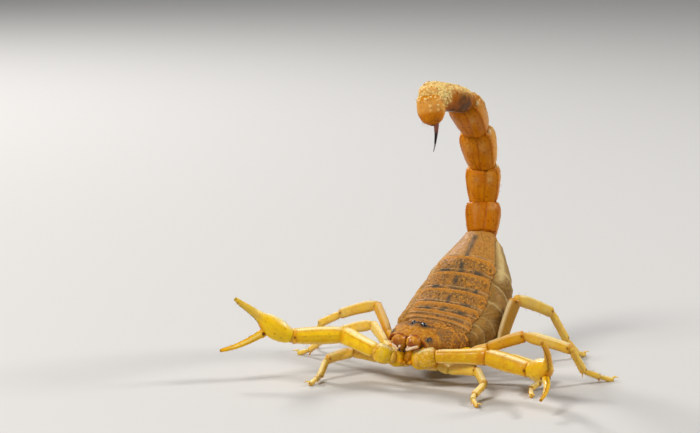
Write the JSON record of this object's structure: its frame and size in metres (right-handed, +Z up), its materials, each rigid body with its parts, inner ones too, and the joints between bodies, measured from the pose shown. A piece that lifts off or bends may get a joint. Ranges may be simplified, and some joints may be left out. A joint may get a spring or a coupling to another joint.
{
  "type": "scorpion model",
  "caption": "Thick-tailed scorpion standing on its legs, pincers spread and tail arched over its back, as a still life-size museum model.",
  "frame": {"origin": "on the floor, under the middle of the animal's overall box", "axes": "+Z up, head towards -Y, the animal's left side towards +X"},
  "size_m": [0.0476, 0.0452, 0.0397],
  "materials": {
    "back": "granular satin",
    "belly": "satin",
    "tail": "satin with granulate keels",
    "limb": "satin, slightly translucent",
    "sting": "polished",
    "eye": "polished",
    "face": "finely granular satin"
  },
  "bodies": {
    "root": {"carapace": "face", "coxosternum": "limb", "tergite_1": "back", "tergite_2": "back", "tergite_3": "back", "tergite_4": "back", "tergite_5": "back", "tergite_6": "back", "tergite_7": "back", "genital_operculum": "belly", "sternite_3": "belly", "sternite_4": "belly", "sternite_5": "belly", "sternite_6": "belly", "sternite_7": "belly", "metasoma_1": "tail", "metasoma_2": "tail", "metasoma_3": "tail", "metasoma_4": "tail", "metasoma_5": "tail", "telson_vesicle": "tail", "telson_aculeus": "sting", "median_eye_left": "eye", "lateral_eyes_left": "eye", "pedipalp_left_coxa": "limb", "chelicera_left": "face", "cheliceral_finger_left": "face", "pectine_left": "belly", "pedipalp_left_femur": "limb", "pedipalp_left_patella": "limb", "pedipalp_left_chela": "limb", "pedipalp_left_movable_finger": "limb", "leg_left_1_femur": "limb", "leg_left_1_shank": "limb", "leg_left_2_femur": "limb", "leg_left_2_shank": "limb", "leg_left_3_femur": "limb", "leg_left_3_shank": "limb", "leg_left_4_femur": "limb", "leg_left_4_shank": "limb", "median_eye_right": "eye", "lateral_eyes_right": "eye", "pedipalp_right_coxa": "limb", "chelicera_right": "face", "cheliceral_finger_right": "face", "pectine_right": "belly", "pedipalp_right_femur": "limb", "pedipalp_right_patella": "limb", "pedipalp_right_chela": "limb", "pedipalp_right_movable_finger": "limb", "leg_right_1_femur": "limb", "leg_right_1_shank": "limb", "leg_right_2_femur": "limb", "leg_right_2_shank": "limb", "leg_right_3_femur": "limb", "leg_right_3_shank": "limb", "leg_right_4_femur": "limb", "leg_right_4_shank": "limb"}
  },
  "joints": []
}
